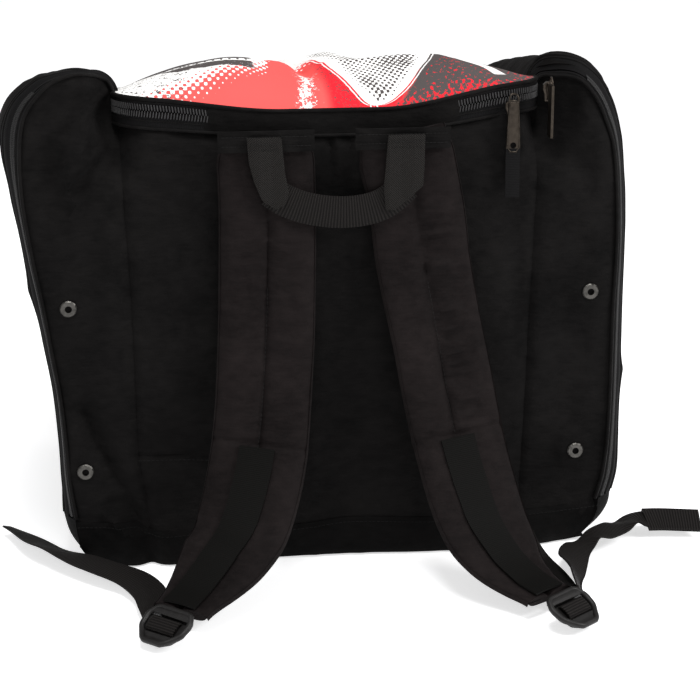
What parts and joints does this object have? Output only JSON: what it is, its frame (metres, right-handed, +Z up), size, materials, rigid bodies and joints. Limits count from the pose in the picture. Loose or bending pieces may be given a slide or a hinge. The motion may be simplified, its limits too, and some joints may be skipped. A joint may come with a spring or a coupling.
{
  "type": "ski boot bag",
  "caption": "Ski boot backpack with round-topped side compartments behind zipped doors, a padded printed lid over a centre compartment, padded shoulder straps and a webbing grab handle.",
  "frame": {"origin": "middle of the flat underside of the base, under the bag's centre line", "axes": "+Z up, +Y away from the wearer's back through the bag's depth, +X across the bag, to the right when looking at the harness side"},
  "size_m": [0.5874, 0.5049, 0.3936],
  "materials": {
    "black_cloth": "matte plain weave polyester",
    "strap_cloth": "matte padded polyester with a faint sheen",
    "webbing": "ribbed polypropylene webbing",
    "print_cloth": "smooth printed polyester in red, white and charcoal",
    "zip_tape": "woven tape with a nylon coil",
    "black_plastic": "satin moulded acetal",
    "dark_metal": "gunmetal plated zinc",
    "nickel": "dark nickel"
  },
  "bodies": {
    "bag": {"base_panel": "black_cloth", "base_wrap_rear": "black_cloth", "base_wrap_front": "black_cloth", "back_panel": "black_cloth", "front_panel": "print_cloth", "lid_zip_tape_lower": "zip_tape", "lid_hinge_strip": "black_cloth", "boot_back_panel_left": "black_cloth", "boot_front_panel_left": "black_cloth", "divider_left": "black_cloth", "frame_zip_tape_left_rear": "zip_tape", "frame_zip_tape_left_front": "zip_tape", "frame_zip_tape_left_top": "zip_tape", "eyelet_left_upper": "nickel", "eyelet_left_lower": "nickel", "eyelet_washer_left_upper": "nickel", "eyelet_washer_left_lower": "nickel", "strap_head_left": "strap_cloth", "strap_tab_left": "black_cloth", "anchor_webbing_left": "webbing", "boot_back_panel_right": "black_cloth", "boot_front_panel_right": "black_cloth", "divider_right": "black_cloth", "frame_zip_tape_right_rear": "zip_tape", "frame_zip_tape_right_front": "zip_tape", "frame_zip_tape_right_top": "zip_tape", "eyelet_right_upper": "nickel", "eyelet_right_lower": "nickel", "eyelet_washer_right_upper": "nickel", "eyelet_washer_right_lower": "nickel", "strap_head_right": "strap_cloth", "strap_tab_right": "black_cloth", "anchor_webbing_right": "webbing"},
    "lid": {"lid": "print_cloth", "lid_zip_tape_upper": "zip_tape"},
    "boot_door_left": {"boot_door_left": "black_cloth", "door_zip_tape_left_rear": "zip_tape", "door_zip_tape_left_front": "zip_tape"},
    "strap_left": {"shoulder_strap_left": "strap_cloth", "strap_webbing_left": "webbing", "webbing_tail_left": "webbing"},
    "ladder_lock_left": {"ladder_lock_left": "black_plastic"},
    "door_slider_left": {"door_slider_left": "dark_metal"},
    "door_pull_left": {"door_pull_left": "dark_metal"},
    "boot_door_right": {"boot_door_right": "black_cloth", "door_zip_tape_right_rear": "zip_tape", "door_zip_tape_right_front": "zip_tape"},
    "strap_right": {"shoulder_strap_right": "strap_cloth", "strap_webbing_right": "webbing", "webbing_tail_right": "webbing"},
    "ladder_lock_right": {"ladder_lock_right": "black_plastic"},
    "door_slider_right": {"door_slider_right": "dark_metal"},
    "door_pull_right": {"door_pull_right": "dark_metal"},
    "grab_handle": {"grab_handle": "webbing"},
    "lid_slider_rear": {"lid_slider_rear": "dark_metal"},
    "lid_pull_rear": {"lid_pull_rear": "dark_metal", "lid_pull_tab": "webbing"},
    "lid_slider_side": {"lid_slider_side": "dark_metal"},
    "lid_pull_side": {"lid_pull_side": "dark_metal"}
  },
  "joints": [
    {"name": "lid_hinge", "type": "hinge", "parent": "bag", "child": "lid", "pos_m": [0, -0.1515, 0.3676], "axis": [1, 0, 0], "range_deg": [0, 90]},
    {"name": "boot_door_left_hinge", "type": "hinge", "parent": "bag", "child": "boot_door_left", "pos_m": [-0.2224, 0, 0.0366], "axis": [0, -1, 0], "range_deg": [0, 75]},
    {"name": "boot_door_right_hinge", "type": "hinge", "parent": "bag", "child": "boot_door_right", "pos_m": [0.2224, 0, 0.0366], "axis": [0, 1, 0], "range_deg": [0, 75]},
    {"name": "strap_left_fold", "type": "hinge", "parent": "bag", "child": "strap_left", "pos_m": [-0.0525, -0.1745, 0.264], "axis": [-1, 0, 0], "range_deg": [0, 30]},
    {"name": "strap_right_fold", "type": "hinge", "parent": "bag", "child": "strap_right", "pos_m": [0.066, -0.1745, 0.264], "axis": [-0.99, 0, -0.141], "range_deg": [0, 30]},
    {"name": "ladder_lock_left_tilt", "type": "hinge", "parent": "strap_left", "child": "ladder_lock_left", "pos_m": [-0.1393, -0.3051, 0.018], "axis": [-0.848, 0.53, 0], "range_deg": [0, 45]},
    {"name": "ladder_lock_right_tilt", "type": "hinge", "parent": "strap_right", "child": "ladder_lock_right", "pos_m": [0.1547, -0.3129, 0.018], "axis": [-0.8779, -0.4789, 0], "range_deg": [0, 45]},
    {"name": "grab_handle_swing", "type": "hinge", "parent": "bag", "child": "grab_handle", "pos_m": [0, -0.1767, 0.345], "axis": [-1, 0, 0], "range_deg": [0, 150]},
    {"name": "lid_slider_rear_travel", "type": "slide", "parent": "bag", "child": "lid_slider_rear", "axis": [-1, 0, 0], "range_m": [0, 0.03]},
    {"name": "lid_pull_rear_swing", "type": "hinge", "parent": "lid_slider_rear", "child": "lid_pull_rear", "pos_m": [0.138, -0.1618, 0.366], "axis": [-1, 0, 0], "range_deg": [0, 120]},
    {"name": "lid_slider_side_travel", "type": "slide", "parent": "bag", "child": "lid_slider_side", "axis": [-1, 0, 0], "range_m": [0, 0.006]},
    {"name": "lid_pull_side_swing", "type": "hinge", "parent": "lid_slider_side", "child": "lid_pull_side", "pos_m": [0.1656, -0.1618, 0.3786], "axis": [-1, 0, 0], "range_deg": [0, 90]},
    {"name": "door_slider_left_travel", "type": "slide", "parent": "bag", "child": "door_slider_left", "axis": [0, 0, 1], "range_m": [0, 0.2]},
    {"name": "door_pull_left_swing", "type": "hinge", "parent": "door_slider_left", "child": "door_pull_left", "pos_m": [-0.214, 0.1618, 0.062], "axis": [1, 0, 0], "range_deg": [0, 120]},
    {"name": "door_slider_right_travel", "type": "slide", "parent": "bag", "child": "door_slider_right", "axis": [0, 0, 1], "range_m": [0, 0.2]},
    {"name": "door_pull_right_swing", "type": "hinge", "parent": "door_slider_right", "child": "door_pull_right", "pos_m": [0.214, 0.1618, 0.062], "axis": [1, 0, 0], "range_deg": [0, 120]}
  ]
}
